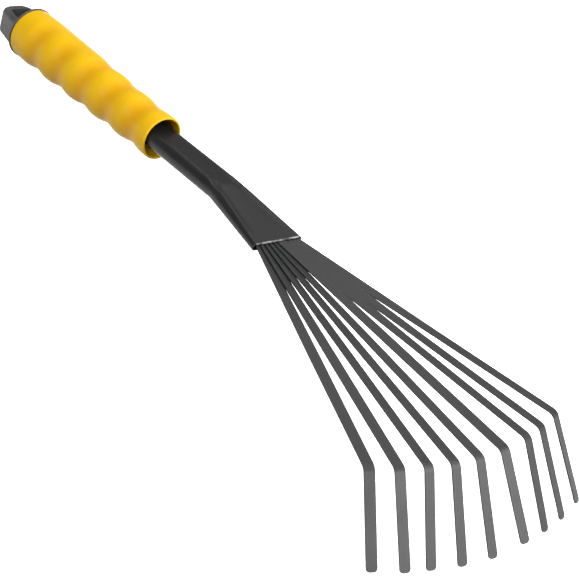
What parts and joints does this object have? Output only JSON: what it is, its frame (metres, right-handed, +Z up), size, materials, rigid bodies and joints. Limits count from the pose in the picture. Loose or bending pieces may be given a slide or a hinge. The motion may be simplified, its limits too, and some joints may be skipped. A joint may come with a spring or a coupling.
{
  "type": "leaf rake",
  "caption": "Short one-hand fan rake: flat sprung steel strip tines with turned-down tips held in a flattened tube neck, with a scalloped grip sleeve and a slotted hang cap.",
  "frame": {"origin": "on the surface that the rake lies on, under the middle of its box", "axes": "+X runs from the hang cap to the tine tips, +Y across the fan, +Z up"},
  "size_m": [0.4852, 0.167, 0.0471],
  "materials": {
    "tine_paint": "satin graphite paint on sprung steel strip",
    "tube_paint": "fine-grained black powder coat on steel tube",
    "weld_paint": "painted weld metal",
    "grip_plastic": "satin moulded yellow",
    "cap_plastic": "satin moulded dark grey"
  },
  "bodies": {
    "root": {"tine_1": "tine_paint", "tine_2": "tine_paint", "tine_3": "tine_paint", "tine_4": "tine_paint", "tine_5": "tine_paint", "tine_6": "tine_paint", "tine_7": "tine_paint", "tine_8": "tine_paint", "tine_9": "tine_paint", "tube": "tube_paint", "root_weld": "weld_paint", "grip_sleeve": "grip_plastic", "hang_cap": "cap_plastic"}
  },
  "joints": []
}
